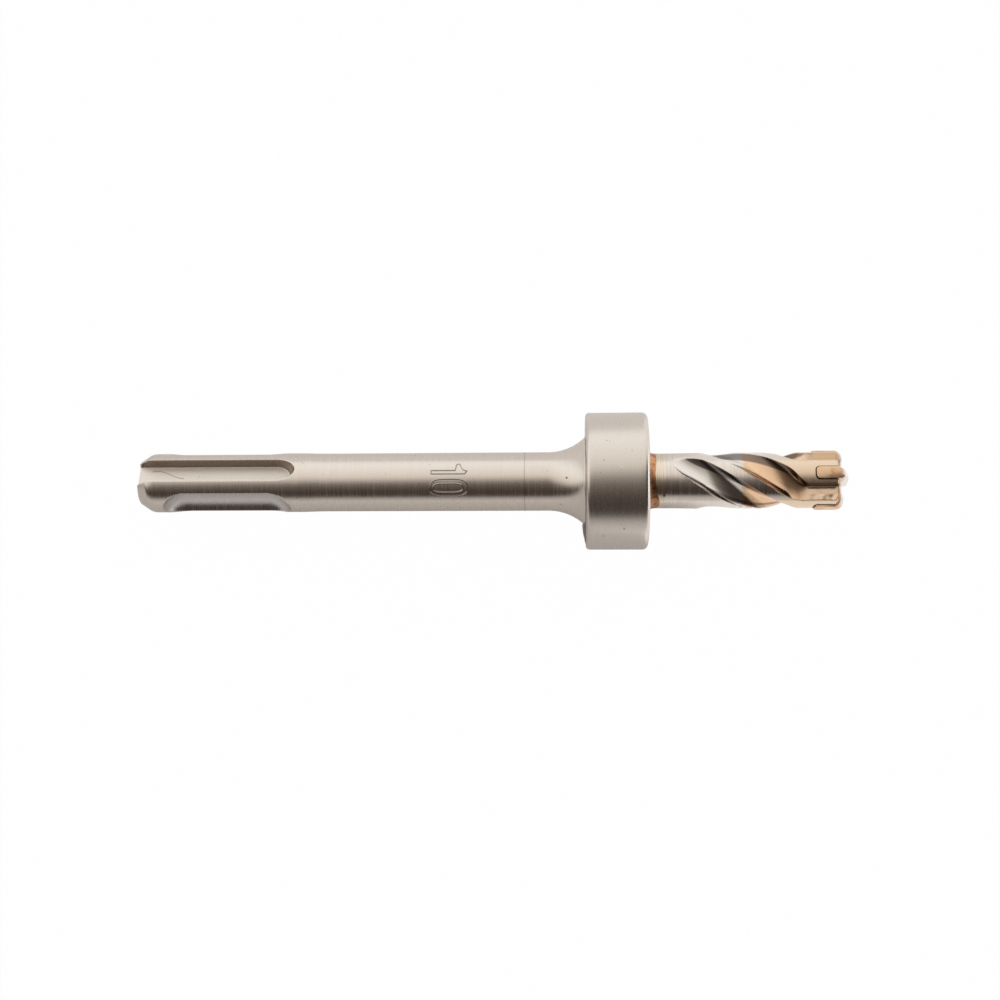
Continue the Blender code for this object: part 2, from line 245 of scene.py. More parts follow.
class MetalFinish:
    # a metal under way: its place on the bit in millimetres, and colour, roughness and height so far
    def __init__(self, name, look):
        self.material = bpy.data.materials.new(name)
        self.material.use_nodes = True
        self.recipe = r = Recipe(self.material.node_tree)
        self.look = look
        metres = r.add("TexCoord", out="Object")
        self.spot = r.stretch(metres, (1000.0, 1000.0, 1000.0))
        self.station, self.y, self.z = r.add("SeparateXYZ", None, {0: self.spot}, out=(0, 1, 2))
        self.radius = (self.y * self.y + self.z * self.z).maths("SQRT")
        self.angle = self.y.maths("ARCTAN2", self.z)
        self.color = look["color"]
        self.rough = look["roughness"]
        self.height = 0.0
        self.metallic = 1.0

    def stain(self, mask, color, share=1.0):
        self.color = self.recipe.blend(mask * share, self.color, color)

    def flecks(self, places, color):
        # small pits or bright flecks on the side that faces up: station, across and radius of each
        r = self.recipe
        for station, across, size in places:
            fromStation, fromMiddle = self.station - station, self.y - across
            away = (fromStation * fromStation + fromMiddle * fromMiddle).maths("SQRT")
            self.stain(r.fall(away, size * 0.4, size) * r.ramp(self.z, 0.0, 0.1), color, 0.85)

    def turningMarks(self):
        # rings round the bit: a fine set, and a coarser one that comes and goes along it
        r, look = self.recipe, self.look
        pitch, depth = look["ringPitch"], look["ringDepth"]
        fine = r.speckle(r.stretch(self.spot, (1.0 / pitch, 0.10, 0.10)), 1.0, 3.0, 0.65)
        broad = r.speckle(r.stretch(self.spot, (0.35 / pitch, 0.22, 0.22)), 1.0, 2.0, 0.5)
        grain = r.speckle(self.spot, 9.0, 2.0, 0.6)
        marks = 1.0 + fine * depth + broad * (depth * 0.5) + grain * look["mottle"]
        self.color = r.shade(self.color, marks)
        self.rough = self.rough + fine * look["ringRough"] + grain * 0.08
        self.height = self.height + fine * 0.8 + broad * 0.5 + grain * 0.5

    def pits(self):
        # small pits where a cloud is thickest
        r, look = self.recipe, self.look
        place = r.ramp(r.cloud(self.spot, look["pitScale"], 1.0), *look["pitEdge"])
        self.stain(place, *look["pitTint"])
        self.height = self.height - place * look["pitDepth"]

    def finish(self, bump=0.35, distance=0.000006):
        r = self.recipe
        normal = r.add("Bump", None, {"Strength": bump, "Distance": distance, "Height": self.height})
        sockets = {"Base Color": self.color, "Roughness": self.rough, "Normal": normal}
        shader = r.add("BsdfPrincipled", None, {**sockets, "Metallic": self.metallic})
        r.add("OutputMaterial", None, {"Surface": shader})
        return self.material


# In each look a tint is a colour and its share, and a pair of numbers is where a change starts and ends: in
# millimetres along the bit, out from its axis or sideways, as its name says, or in a cloud's own values for a
# patch or a pit.
shankLook = {
    "color": (0.72, 0.637, 0.558),
    "roughness": 0.25,
    "ringPitch": 0.16,                      # between the turning marks
    "ringDepth": 0.16,
    "ringRough": 0.30,
    "mottle": 0.10,
    "milledRadius": (4.76, 4.88),           # slots and grooves lie inside this radius
    "milledEnd": (27.0, 28.5),
    "milledSmooth": 0.7,                    # how much of the turning marks' height is milled away
    "slotEdge": (2.0, 2.06),                # sideways from the middle of a slot
    "slotFrom": (0.15, 0.35),
    # painted shade: the slot walls are coloured dark
    "slotWallPaintedShade": ((0.24, 0.19, 0.155), 0.85),
    "floorRise": (0.03, 0.12),              # over a slot's floor, where the floor's painted light ends
    "floorPaintedLight": ((0.92, 0.825, 0.72), 1.0),
    "floorMatt": 0.16,
    "floorDull": 0.55,                      # less metallic by this
    "grooveFrom": (2.4, 3.2),
    "grooveTint": ((0.62, 0.575, 0.545), 0.9),
    "grooveMatt": 0.02,
    "blackFlecks": [(72.63, 0.59, 0.24)], "blackFleck": (0.05, 0.04, 0.03),
    "greyFlecks": [(71.70, -3.77, 0.16)], "greyFleck": (0.25, 0.21, 0.18),
    "scratchWave": (3.0, 0.63, 0.3, 0.73),  # first crest, turn per millimetre, middle and swing
    "scratchWidth": (0.03, 0.09), "scratchFrom": (1.9, 2.3), "scratchTo": (7.6, 8.1),
    "scratchTint": ((0.16, 0.11, 0.075), 0.75),
    "line": 65.7,                           # station of a single deeper turning mark
    "lineWidth": (0.03, 0.16), "lineTint": ((0.30, 0.26, 0.23), 0.45), "lineDepth": 1.2,
    "pitScale": 2.6, "pitEdge": (0.735, 0.78), "pitTint": ((0.22, 0.19, 0.17), 0.55), "pitDepth": 2.0,
}


def shankSteel():
    look = shankLook
    f = MetalFinish("shankSteel", look)
    r = f.recipe
    f.turningMarks()
    milled = r.fall(f.radius, *look["milledRadius"]) * r.fall(f.station, *look["milledEnd"])
    fromSlot = f.angle - math.radians(shank["slotAngle"])
    sideways, outward = f.radius * fromSlot.maths("SINE"), abs(f.radius * fromSlot.maths("COSINE"))
    inSlot = r.fall(abs(sideways), *look["slotEdge"])
    slots = milled * inSlot * r.ramp(f.station, *look["slotFrom"])
    floors = slots * r.fall(outward, *[shank["slotFloor"] + rise for rise in look["floorRise"]])
    grooves = milled * (1.0 - inSlot) * r.ramp(f.station, *look["grooveFrom"])
    f.flecks(look["blackFlecks"], look["blackFleck"])
    f.flecks(look["greyFlecks"], look["greyFleck"])
    # painted shade: the slot walls are coloured dark where they face away from the light
    f.stain(slots, *look["slotWallPaintedShade"])
    # painted light: the slot floors are coloured lighter, in place of light that the walls keep off them
    f.stain(floors, *look["floorPaintedLight"])
    f.stain(grooves, *look["grooveTint"])
    f.rough = f.rough + floors * look["floorMatt"] + grooves * look["grooveMatt"]
    f.metallic = 1.0 - floors * look["floorDull"]
    # one long scratch on the floor of the upper slot
    crest, turn, middle, swing = look["scratchWave"]
    path = middle + ((f.station - crest) * turn).maths("COSINE") * swing
    scratch = r.fall(abs(sideways - path), *look["scratchWidth"]) * r.ramp(f.z, 0.0, 0.1)
    scratch = scratch * r.ramp(f.station, *look["scratchFrom"]) * r.fall(f.station, *look["scratchTo"])
    f.stain(scratch * slots, *look["scratchTint"])
    f.height = f.height * (1.0 - milled * look["milledSmooth"])
    line = r.fall(abs(f.station - look["line"]), *look["lineWidth"])
    f.stain(line, *look["lineTint"])
    f.height = f.height - line * look["lineDepth"]
    f.pits()
    return f.finish()


# the first of these colours is a painted shade, put on the flutes' walls
paintedShadeColor, black, straw = (0.12, 0.10, 0.088), (0.05, 0.035, 0.028), (0.76, 0.575, 0.415)
fluteLook = {
    "color": (0.72, 0.64, 0.565),
    "roughness": 0.22,
    "ringPitch": 0.22,
    "ringDepth": 0.26,
    "ringRough": 0.30,
    "mottle": 0.12,
    "milledRadius": (4.42, 4.54),           # the flutes lie inside this radius
    "milledSmooth": 0.8,
    "milledTint": ((0.80, 0.745, 0.69), 0.8),
    "milledRoughness": 0.13,
    "laneScale": (26.0, 0.25),              # of the milling marks, across a flute and along it
    "laneDepth": 0.60, "laneHeight": 3.0, "laneRough": 0.10,
    # heat tints, which start further back in the flutes than on the lands
    "landHeatFrom": (105.5, 110.0), "landHeat": (straw, 0.92),
    "fluteHeatFrom": (100.9, 102.0), "fluteHeat": ((0.76, 0.485, 0.29), 0.92),
    "paleHeatFrom": (110.0, 112.5), "paleHeat": (straw, 0.75),
    "deepPatch": (0.54, 0.72), "deepHeat": ((0.40, 0.21, 0.12), 0.18),
    "rearHeatTo": (87.6, 89.6), "rearHeat": ((0.74, 0.60, 0.42), 0.6),
    # painted shade: dark colour on the steep high walls and in a strip inside the low rims, in place of the
    # dark reflections there
    "steepWall": (1.20, 1.55), "steepWallPaintedShade": (paintedShadeColor, 0.82),        # sideways from the middle of a flute
    "stripOuter": (-2.00, -1.88), "stripInner": (-1.54, -1.42),
    "stripTo": (107.0, 109.5), "stripPaintedShade": (paintedShadeColor, 0.65),
    "gulletWall": (0.30, 0.40),
    "goldFrom": (113.1, 113.3), "gold": ((0.80, 0.56, 0.33), 0.85),
    # painted shade: black on the gullet walls on one side of the bit
    "gulletShadeFrom": (109.5, 111.5), "sootAndShade": (black, 0.9),
    "gulletShadeTurnFrom": (-1.3, -1.1), "gulletShadeTurnTo": (0.0, 0.1),         # round the axis, in radians
    "jointReach": (0.15, 0.24), "joint": (black, 0.8),
    "blackFlecks": [(88.6, -2.45, 0.26)],
    # streaks along the turning marks, behind the first station and round the second: their own tone, with
    # painted highlight and shade
    "rearStreaks": (86.0, 93.5), "frontStreaks": 102.5, "streakReach": (1.5, 4.0),
    "streakScale": (5.5, 0.25, 0.25), "streakDepth": 0.9,
}


def fluteSteel():
    look = fluteLook
    f = MetalFinish("fluteSteel", look)
    r = f.recipe
    f.turningMarks()
    # the angle is wound back along the helix, so that the milling marks run along the flutes
    turned = f.station.maths("MINIMUM", flutes["helixEnd"]) - flutes["phase"]
    wound = f.angle + turned * (2.0 * math.pi / flutes["lead"])
    sector = 2.0 * math.pi / flutes["count"]
    inFlute = (wound + sector / 2.0).maths("FLOORED_MODULO", sector) - sector / 2.0
    sideways = f.radius * inFlute.maths("SINE")
    across, lengthways = look["laneScale"]
    unwound = {0: wound.maths("COSINE") * across, 1: wound.maths("SINE") * across, 2: f.station * lengthways}
    lanes = r.speckle(r.add("CombineXYZ", None, unwound), 1.0, 3.0, 0.6)
    cut = r.fall(f.radius, *look["milledRadius"])
    f.color = r.shade(f.color, 1.0 + lanes * cut * look["laneDepth"])
    f.height = f.height * (1.0 - cut * look["milledSmooth"]) + lanes * cut * look["laneHeight"]
    smoother = look["milledRoughness"] - look["roughness"]
    f.rough = f.rough + cut * smoother + lanes * cut * look["laneRough"]
    f.stain(cut, *look["milledTint"])
    drift = r.speckle(f.spot, 0.55, 2.0) * 2.0
    heated = f.station + drift
    f.stain(r.ramp(heated, *look["landHeatFrom"]) * (1.0 - cut), *look["landHeat"])
    warm = r.ramp(heated, *look["fluteHeatFrom"]) * cut
    f.stain(warm, *look["fluteHeat"])
    f.stain(warm * r.ramp(heated, *look["paleHeatFrom"]), *look["paleHeat"])
    f.stain(warm * r.ramp(r.cloud(f.spot, 0.8, 3.0), *look["deepPatch"]), *look["deepHeat"])
    f.stain(r.fall(f.station + drift * 0.4, *look["rearHeatTo"]), *look["rearHeat"])
    # painted shade: dark colour on the flutes' steep high walls, and in a strip inside their low rims
    f.stain(r.ramp(sideways, *look["steepWall"]) * cut, *look["steepWallPaintedShade"])
    strip = r.ramp(sideways, *look["stripOuter"]) * r.fall(sideways, *look["stripInner"]) * cut
    f.stain(strip * r.fall(f.station, *look["stripTo"]), *look["stripPaintedShade"])
    # braze gold on the gullet walls beside the plates, painted shade in black on those walls on one side of
    # the bit, and black on the joints
    walls = r.ramp(sideways, *look["gulletWall"]) * cut
    f.stain(walls * r.ramp(f.station, *look["goldFrom"]), *look["gold"])
    upper = r.ramp(f.angle, *look["gulletShadeTurnFrom"]) * r.fall(f.angle, *look["gulletShadeTurnTo"])
    f.stain(walls * r.ramp(f.station, *look["gulletShadeFrom"]) * upper, *look["sootAndShade"])
    corner = plates["backRound"]
    behind = (plates["back"] + corner - f.station).maths("MAXIMUM", 0.0)
    for turn in (plates["angle"], plates["angle"] + 90.0):
        a = math.radians(turn)
        beside = abs(f.y * math.cos(a) - f.z * math.sin(a)) - (plates["thickness"] / 2.0 - corner)
        beside = beside.maths("MAXIMUM", 0.0)
        outline = (behind * behind + beside * beside).maths("SQRT")
        f.stain(r.fall(outline, *[corner + reach for reach in look["jointReach"]]), *look["joint"])
    f.flecks(look["blackFlecks"], black)
    # painted highlight and shade in streaks on the lands, over the turning marks' own tone
    front = r.fall(abs(f.station - look["frontStreaks"]), *look["streakReach"])
    streaks = r.fall(f.station, *look["rearStreaks"]) + front
    rings = r.speckle(r.stretch(f.spot, look["streakScale"]), 1.0, 2.0, 0.6)
    f.color = r.shade(f.color, 1.0 + rings * streaks * (1.0 - cut) * look["streakDepth"])
    return f.finish()


collarLook = {
    "color": (0.71, 0.635, 0.565),
    "roughness": 0.27,
    "ringPitch": 0.20,
    "ringDepth": 0.05,
    "ringRough": 0.16,
    "mottle": 0.26,
    "rim": (0.02, 0.25),                    # forward of the back face
    "rimPatch": (0.30, 0.75), "rimTint": ((0.40, 0.20, 0.09), 0.5),
    "pitScale": 1.9, "pitEdge": (0.745, 0.80), "pitTint": ((0.25, 0.22, 0.20), 0.7), "pitDepth": 3.0,
    "brightFlecks": [(80.77, -2.01, 0.22), (84.27, -3.51, 0.18), (81.42, 2.32, 0.14)],
    "brightFleck": (0.95, 0.90, 0.84),
    "darkFlecks": [(81.85, -7.74, 0.20), (78.53, -8.90, 0.16), (83.1, 4.9, 0.11), (79.6, 6.4, 0.10)],
    "darkFleck": (0.22, 0.18, 0.15),
}


def collarSteel():
    look = collarLook
    f = MetalFinish("collarSteel", look)
    r = f.recipe
    f.turningMarks()
    rim = r.fall(f.station, *[bit["collarBack"] + ahead for ahead in look["rim"]])
    f.stain(rim * r.ramp(r.cloud(f.spot, 0.5, 2.0), *look["rimPatch"]), *look["rimTint"])
    f.pits()
    f.flecks(look["brightFlecks"], look["brightFleck"])
    f.flecks(look["darkFlecks"], look["darkFleck"])
    return f.finish(bump=0.45)


carbideLook = {
    "color": (0.76, 0.50, 0.31),
    "roughness": 0.34,
    "grain": 0.35, "grainRough": 0.2,
    "redPatch": (0.50, 0.70), "redTint": ((0.52, 0.23, 0.13), 0.5),
    "palePatch": (0.34, 0.48), "paleTint": ((0.80, 0.66, 0.50), 0.25),
    "groundFrom": (117.1, 117.8), "groundTint": ((0.86, 0.83, 0.80), 0.9),      # the ground cutting edges
}


def carbide():
    look = carbideLook
    f = MetalFinish("carbide", look)
    r = f.recipe
    grain = r.speckle(f.spot, 9.0, 3.0, 0.6)
    patch = r.cloud(f.spot, 0.75, 2.0)
    f.stain(r.ramp(patch, *look["redPatch"]), *look["redTint"])
    f.stain(r.fall(patch, *look["palePatch"]), *look["paleTint"])
    f.stain(r.ramp(f.station + grain * 0.8, *look["groundFrom"]), *look["groundTint"])
    f.color = r.shade(f.color, 1.0 + grain * look["grain"])
    f.rough = f.rough + grain * look["grainRough"]
    f.height = f.height + grain
    return f.finish(bump=0.5)


brazeLook = {
    "color": (0.67, 0.315, 0.155),
    "roughness": 0.33,
    "grain": 0.4, "grainRough": 0.25, "lumps": 2.0,
    # this colour serves both the real soot patches and the painted shade on one side
    "sootAndShade": (0.17, 0.08, 0.045),
    "sootPatch": (0.50, 0.66), "patchShare": 0.8,
    "sideAngle": 48.0, "sideEdge": (0.2, 0.8), "shadedSideShare": 0.45,       # one side is darker, a painted shade, at this angle
}
seamLook = {**brazeLook, "color": (0.40, 0.335, 0.285), "roughness": 0.38, "sootAndShade": (0.14, 0.10, 0.075)}


def brazeCopper(name, look):
    f = MetalFinish(name, look)
    r = f.recipe
    patch = r.cloud(f.spot, 1.3, 3.0, 0.6)
    f.stain(r.ramp(patch, *look["sootPatch"]), look["sootAndShade"], look["patchShare"])
    # painted shade: one side of the braze is darkened, besides the real soot patches
    side = (f.angle + math.radians(look["sideAngle"])).maths("COSINE")
    f.stain(r.ramp(side, *look["sideEdge"]), look["sootAndShade"], look["shadedSideShare"])
    grain = r.speckle(f.spot, 7.0, 3.0, 0.6)
    f.color = r.shade(f.color, 1.0 + grain * look["grain"])
    f.rough = f.rough + grain * look["grainRough"]
    f.height = f.height + grain + patch * look["lumps"]
    return f.finish(bump=0.6, distance=0.00002)


markLook = {"color": (0.44, 0.38, 0.325), "roughness": 0.22, "grain": 0.5}


def etchedSteel():
    f = MetalFinish("etchedSteel", markLook)
    grain = f.recipe.speckle(f.spot, 8.0, 2.0)
    f.color = f.recipe.shade(f.color, 1.0 + grain * markLook["grain"])
    f.height = f.height + grain
    return f.finish()


# Shank: rings with the two open slots and two closed grooves as features between plain lands
shank = {
    "endChamfer": [(0.0, 3.5), (0.03, 3.62), (0.1, 3.7), (0.25, 3.793), (0.9, 4.225), (1.6, 4.69),
                   (1.72, 4.768), (1.82, 4.81), (2.0, 4.87), (2.3, 4.94), (2.6, 4.98), (2.9, 5.0)],
    "slottedEnd": 27.5, "plainStart": 32.0,
    "slotAngle": 28.0, "slotFloor": 2.38, "floorHalf": 1.71, "rimHalf": 2.01,
    "floorEnd": 25.8, "rimEnd": 27.4, "endRound": 2.2,
    "rimFade": (0.3, 3.0),      # past the slot's rim, where its columns spread out again
    "floorColumns": 20,
    "grooveTurn": 88.5,         # degrees from a slot on to the next groove
    "grooveRadius": 4.5, "grooveCentre": 6.59, "grooveFirst": 8.41, "grooveLast": 21.99,
    "grooveHalf": 3.411,        # where the groove's arc meets the shank's surface
    "grooveEdge": 0.10, "groovesFrom": 3.0,
    "flareStart": 69.6, "flareEnd": 75.7, "flareArc": 8.7,
    "ringRuns": [(3.2, 70), (10.2, 12), (20.0, 30)],        # first station of a run, and its rings
    "landColumns": 12,
}
# across a slot's wall, from floor to land: share of its width, share of its height
slotSide = [(0.0, 0.0), (0.06, 0.004), (0.12, 0.014), (0.18, 0.034), (0.24, 0.072), (0.36, 0.22),
            (0.50, 0.46), (0.64, 0.70), (0.74, 0.86), (0.80, 0.925), (0.85, 0.962), (0.90, 0.984),
            (0.95, 0.996), (1.0, 1.0)]
# across a groove, in half widths, closer together at its rims
grooveColumns = ([-1.06, -1.035, -1.018, -1.006, -0.994, -0.982, -0.965, -0.94]
                 + [-0.90 + 1.8 * i / 32 for i in range(33)]
                 + [0.94, 0.965, 0.982, 0.994, 1.006, 1.018, 1.035, 1.06])


def wallShare(d):
    # height on a slot's wall, from 0 at the floor to 1 at the land
    for (low, first), (high, last) in zip(slotSide, slotSide[1:]):
        if d <= high:
            return first + (last - first) * (d - low) / (high - low)
    return 1.0


def slotPoints(s, radius):
    # floor and rim each close in a round end, the floor's first, with a sloping wall between them
    centre = shank["floorEnd"] - shank["endRound"]
    late = max(0.0, s - centre)
    rimReach = shank["rimEnd"] - centre
    floorHalf, rimHalf = shank["floorHalf"], shank["rimHalf"]
    inner = floorHalf * math.sqrt(max(0.0, 1.0 - (late / shank["endRound"]) ** 2))
    outer = rimHalf * math.sqrt(max(0.0, 1.0 - (late / rimReach) ** 2))
    plain = rimHalf * smooth(*[shank["rimEnd"] + past for past in shank["rimFade"]], s)
    inner, outer = max(0.02, inner), max(outer, 0.06, plain)
    wall = [inner + (outer - inner) * d for d, _ in slotSide]
    across = [-u for u in reversed(wall)] + steps(-inner, inner, shank["floorColumns"])[1:] + wall
    points = []
    for u in across:
        surface = math.sqrt(radius * radius - u * u)
        toFloor = math.hypot(late / shank["endRound"], u / floorHalf)
        toRim = math.hypot(late / rimReach, u / rimHalf)
        if late <= 0.0:
            away = (abs(u) - floorHalf) / (rimHalf - floorHalf)
        elif toRim >= 1.0:
            away = 1.0
        else:
            away = (1.0 - 1.0 / max(toFloor, 0.001)) / (1.0 / toRim - 1.0 / max(toFloor, 0.001))
        floor = min(shank["slotFloor"], surface)
        points.append((u, floor + (surface - floor) * wallShare(max(0.0, away))))
    return points


def groovePoints(s, radius):
    reach = shank["grooveRadius"] ** 2
    beyond = max(0.0, shank["grooveFirst"] - s, s - shank["grooveLast"])
    points = []
    for x in grooveColumns:
        u = shank["grooveHalf"] * x * radius / bit["shankRadius"]
        surface = math.sqrt(radius * radius - u * u)
        under = reach - u * u - beyond * beyond
        if under > 0.0 and s > shank["groovesFrom"]:
            surface = softMin(surface, shank["grooveCentre"] - math.sqrt(under), shank["grooveEdge"])
        points.append((u, surface))
    return points


def shankRing(s, radius):
    # four features in the order of their angles, with plain land between them
    features = []
    for i in range(2):
        angle = shank["slotAngle"] + 180.0 * i
        features.append((angle, slotPoints(s, radius)))
        features.append((angle + shank["grooveTurn"], groovePoints(s, radius)))
    ring = []
    for i, (angle, points) in enumerate(features):
        ring += [(s, *around(angle, h, u)) for u, h in points]
        nextAngle, nextPoints = features[(i + 1) % 4]
        first = angle + math.degrees(math.atan2(*points[-1]))
        last = nextAngle + math.degrees(math.atan2(*nextPoints[0])) + (360.0 if i == 3 else 0.0)
        count = shank["landColumns"]
        for k in range(1, count):
            ring.append((s, *around(first + (last - first) * k / count, radius)))
    return ring


def flareAt(s):
    # radius of the concave flare behind the collar
    run, arc = s - shank["flareStart"], shank["flareArc"]
    return bit["plainRadius"] + arc - math.sqrt(arc * arc - run * run)


def makeShank():
    thick, plain = bit["shankRadius"], bit["plainRadius"]
    profile = list(shank["endChamfer"])
    centre, rimEnd, floorEnd = shank["floorEnd"] - shank["endRound"], shank["rimEnd"], shank["floorEnd"]
    runs = shank["ringRuns"] + [(centre, 0)]
    stations = [s for (low, count), (high, _) in zip(runs, runs[1:]) for s in steps(low, high, count)]
    stations += [centre + (floorEnd - centre) * math.sin(math.pi / 2.0 * i / 20) for i in range(20)]
    stations += [floorEnd + (rimEnd - floorEnd) * math.sin(math.pi / 2.0 * i / 16) for i in range(17)]
    stations += steps(rimEnd + 0.15, shank["plainStart"], 14)
    stations += steps(shank["plainStart"], shank["flareStart"], 24)
    for s in stations:
        profile.append((s, thick + (plain - thick) * smooth(shank["slottedEnd"], shank["plainStart"], s)))
    for s in steps(shank["flareStart"], shank["flareEnd"], 26) + [shank["flareEnd"] - 0.06]:
        profile.append((s, flareAt(s)))
    shoulder = profile[-1][1]
    neck = bit["neckRadius"]
    profile += [(shank["flareEnd"] - 0.02, shoulder + 0.02), (shank["flareEnd"], shoulder - 0.04)]
    profile += [(shank["flareEnd"], neck + 0.1), (shank["flareEnd"] + 0.1, neck), (bit["seam"], neck)]
    rings = [shankRing(s, radius) for s, radius in profile]
    piece = loftPiece("slottedShank", rings, shankSteel(), 38.0)
    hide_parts("drill_body")
    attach(piece, "root")


# Fluted end: four sectors wound round the axis, each a floor and two walls under the land's circle
flutes = {
    "count": 4, "lead": 45.2, "phase": 96.65, "helixEnd": 111.2, "bend": 1.6, "change": (108.6, 112.2),
    "start": 89.3, "lateStart": 4.2, "runout": 6.4, "lift": 2.35, "lean": 0.35,
    # sections, sideways and outward, from the low rim across the floor to the high rim
    "helix": [(-2.40, 3.99), (-1.95, 3.66), (-1.50, 3.41), (-1.00, 3.21), (-0.50, 3.08), (0.10, 3.00),
              (0.70, 3.01), (1.25, 3.10), (1.65, 3.22), (2.10, 3.42), (2.50, 3.66), (2.78, 3.88)],
    "gullet": [(-1.50, 4.41), (-1.25, 4.21), (-1.00, 4.00), (-0.70, 3.75), (-0.40, 3.50), (-0.10, 3.25),
               (0.12, 3.07), (0.24, 2.98), (0.36, 2.97), (0.70, 3.38), (1.10, 3.88), (1.54, 4.43)],
    "sectionSteps": 7, "landColumns": 10,
    "rimEdge": 0.05,            # how soft the rims are
    "wave": 0.22, "waveFrom": (112.0, 113.5),       # braze run over the low rim of a gullet
    "burr": 0.05, "burrReach": 0.10, "burrEnd": 108.0,
    "headEnd": 116.7, "headChamfer": 0.2, "landFrom": 90.0, "landTo": 94.0,
    "fineFrom": 88.6, "rowGap": 0.26,
}


def fluteAngle(s, index):
    late = s - flutes["helixEnd"]
    half = flutes["bend"] / 2.0
    if late <= -half:
        travelled = s
    elif late >= half:
        travelled = flutes["helixEnd"]
    else:
        travelled = s - (late + half) ** 2 / (2.0 * flutes["bend"])
    return index * 360.0 / flutes["count"] - (travelled - flutes["phase"]) * 360.0 / flutes["lead"]


def curveThrough(points, count):
    # points on a smooth curve through the given ones, count to each span
    curve = []
    last = len(points) - 1
    for i in range(last):
        a, b, c, d = [points[min(last, max(0, i + k))] for k in (-1, 0, 1, 2)]
        for j in range(count):
            t = j / count
            weights = (-0.5 * t + t * t - 0.5 * t ** 3, 1.0 - 2.5 * t * t + 1.5 * t ** 3,
                       0.5 * t + 2.0 * t * t - 1.5 * t ** 3, -0.5 * t * t + 0.5 * t ** 3)
            curve.append(tuple(sum(w * p[k] for w, p in zip(weights, (a, b, c, d))) for k in (0, 1)))
    return curve + [points[last]]


def fluteSection(s, index, change):
    # the cut's section at a station: it rises out of the steel where the flute starts
    start = flutes["start"] + flutes["lateStart"] * (index % 2)
    early = min(1.0, max(0.0, (start + flutes["runout"] - s) / flutes["runout"]))
    wave = flutes["wave"] * ripple(s * 1.3, index * 4.0, 2.0, 7.0) * smooth(*flutes["waveFrom"], s)
    points = []
    for i, (a, b) in enumerate(zip(flutes["helix"], flutes["gullet"])):
        u = a[0] + (b[0] - a[0]) * change + (wave if i < 3 else 0.0)
        height = a[1] + (b[1] - a[1]) * change
        points.append((u, height + flutes["lift"] * early ** 2 * (1.0 + flutes["lean"] * u)))
    return curveThrough(points, flutes["sectionSteps"]), early < 1.0


def fluteRing(s, rim):
    change = smooth(*flutes["change"], s)
    side = rim * math.sin(math.pi / flutes["count"])
    uncut = 4.0 * rim
    ring = []
    for index in range(flutes["count"]):
        angle = fluteAngle(s, index)
        section, begun = fluteSection(s, index, change)
        count = flutes["landColumns"]
        places = [(u, uncut) for u in steps(-side, section[0][0], count)] + section
        places += [(u, uncut) for u in steps(section[-1][0], side, count)[1:]]
        for u, cut in places:
            surface = math.sqrt(rim * rim - u * u)
            height = softMin(surface, cut, flutes["rimEdge"]) if begun else surface
            if u < 0.0 and s < flutes["burrEnd"] and begun:
                lump = 0.6 + 0.9 * ripple(s * 1.1, index * 9.0, 0.0, 3.0)
                near = math.exp(-((surface - cut) / flutes["burrReach"]) ** 2)
                height += flutes["burr"] * max(0.0, lump) * near
            ring.append((s, *around(angle, height, u)))
    return ring


def makeFlutedEnd():
    neck, land = bit["neckRadius"], bit["landRadius"]
    head, chamfer = flutes["headEnd"], flutes["headChamfer"]
    fine, end = flutes["fineFrom"], head - chamfer
    stations = steps(bit["seam"], fine, 8) + steps(fine, end, round((end - fine) / flutes["rowGap"]))
    profile = [(s, neck + (land - neck) * smooth(flutes["landFrom"], flutes["landTo"], s)) for s in stations]
    profile += [(head - chamfer, land), (head - chamfer / 2.0, land - chamfer / 2.0), (head, land - chamfer)]
    rings = [fluteRing(s, rim) for s, rim in profile]
    piece = loftPiece("flutedEnd", rings, fluteSteel(), 34.0)
    reach = bit["drillRadius"] + 1.0
    angle = plates["angle"]
    cutters = [plateSlot(angle + turn, start * reach, reach, joint) for turn, start, joint in plates["slots"]]
    for cutter in cutters:
        cut = piece.modifiers.new("plateSlot", "BOOLEAN")
        cut.operation = "DIFFERENCE"
        cut.solver = "EXACT"
        cut.object = cutter
    bakeModifiers(piece, 34.0)
    for cutter in cutters:
        bpy.data.objects.remove(cutter)
    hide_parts("drill_body")
    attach(piece, "root")


def bakeModifiers(piece, sharp):
    bpy.context.view_layer.update()
    graph = bpy.context.evaluated_depsgraph_get()
    result = bpy.data.meshes.new_from_object(piece.evaluated_get(graph), depsgraph=graph)
    piece.modifiers.clear()
    piece.data = result
    result.shade_smooth()
    result.set_sharp_from_angle(angle=math.radians(sharp))


# Carbide plates, the main one across the head and two short ones at right angles to it
plates = {
    "thickness": 2.0, "back": 113.1, "backRound": 0.62, "corner": 0.85, "sideCorner": 1.15, "angle": 16.0,
    "pointSlope": 0.20, "relief": 0.46, "edgeLead": 0.11, "gap": 0.12,
    "leadBevel": (0.62, 0.9), "trailBevel": (0.66, 1.1),        # from this far off the middle, and its slope
    "bevelRise": 2.0,           # the trailing bevel grows to its full slope this far from the centre point
    "sidePeak": 3.3, "sideDrop": 0.25, "sideSlope": 0.16,
    "rounding": [0, 8, 16, 24, 32, 40, 48, 56, 64, 72, 79],     # degrees round a plate's outer corner
    "backSteps": 8, "frontSteps": 14,
    "wear": 0.05, "chips": 0.28, "chipFrom": (116.2, 117.6),
    # from the main plate's angle, start as a share of the reach, joint width
    "slots": [(0.0, -1.0, 0.10), (90.0, 0.0, 0.03), (270.0, 0.0, 0.10)],
}


def cornerFall(u, radius):
    past = max(0.0, abs(u) - (bit["drillRadius"] - radius))
    return radius - math.sqrt(max(0.0, radius ** 2 - past ** 2))


